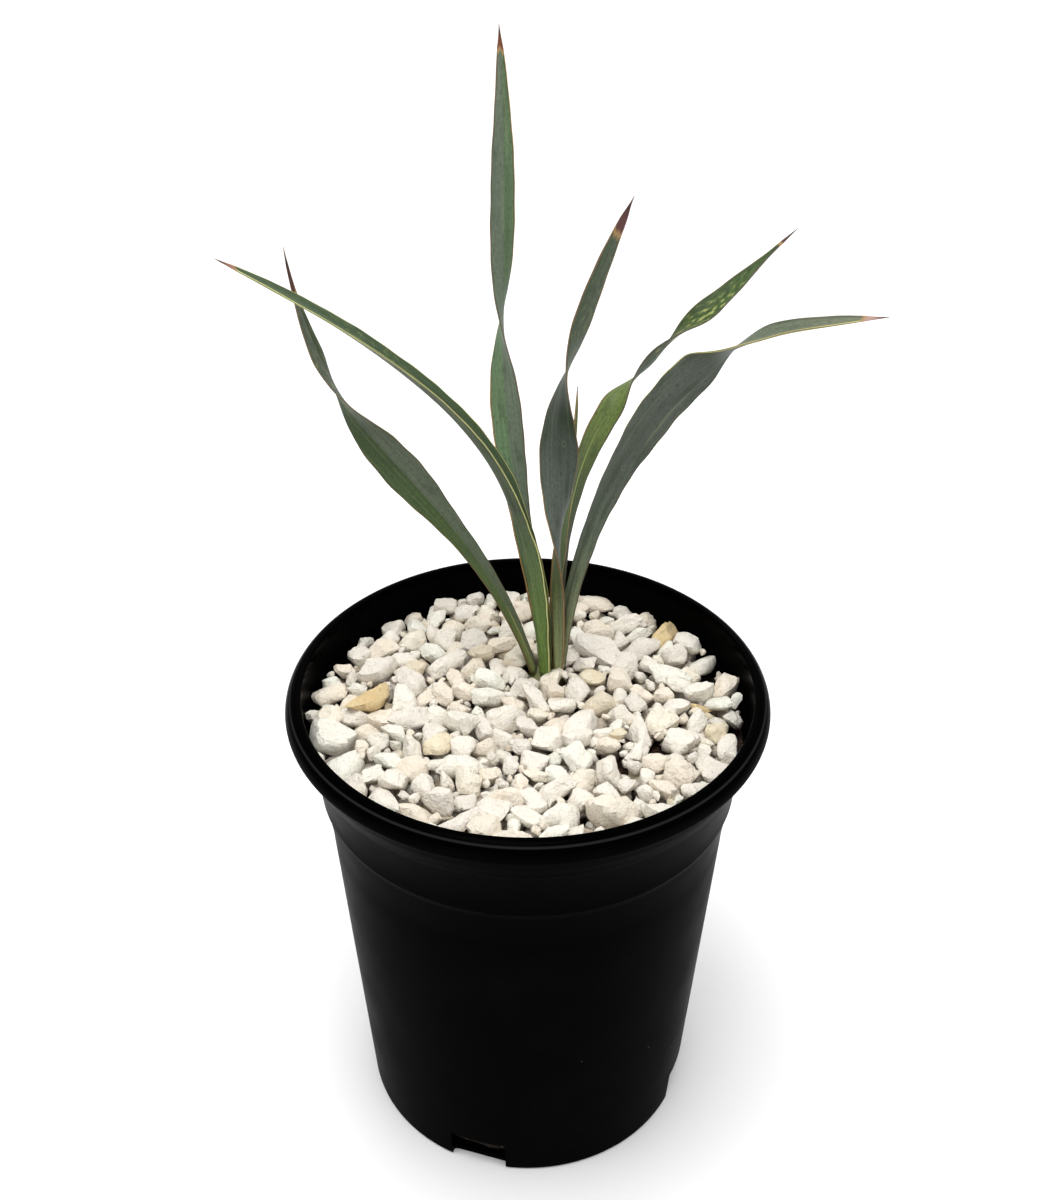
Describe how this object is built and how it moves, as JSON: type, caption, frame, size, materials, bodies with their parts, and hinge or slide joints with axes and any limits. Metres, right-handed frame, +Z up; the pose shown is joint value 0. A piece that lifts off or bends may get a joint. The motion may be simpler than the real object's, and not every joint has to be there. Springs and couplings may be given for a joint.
{
  "type": "potted plant",
  "caption": "Young twisted-leaf yucca in a round black nursery pot with drain notches, top-dressed with crushed white stone, for standing on a floor or bench.",
  "frame": {"origin": "centre of the pot's underside, on the surface it stands on", "axes": "+Z up along the pot's axis, -Y towards the front, +X to the right seen from the front"},
  "size_m": [0.1834, 0.1814, 0.3814],
  "materials": {
    "pot_plastic": "satin black moulded plastic",
    "potting_mix": "damp brown bark and peat",
    "white_stone": "dry crushed stone, off-white to tan",
    "stem": "smooth pale green",
    "leaf": "waxy grey-green with thin yellow-brown margins"
  },
  "bodies": {
    "root": {"pot": "pot_plastic", "potting_mix": "potting_mix", "gravel": "white_stone", "stem": "stem", "leaf_arching_left": "leaf", "leaf_low_left": "leaf", "leaf_tall": "leaf", "leaf_centre_right": "leaf", "leaf_young": "leaf", "leaf_right_back": "leaf", "leaf_right_front": "leaf"}
  },
  "joints": []
}
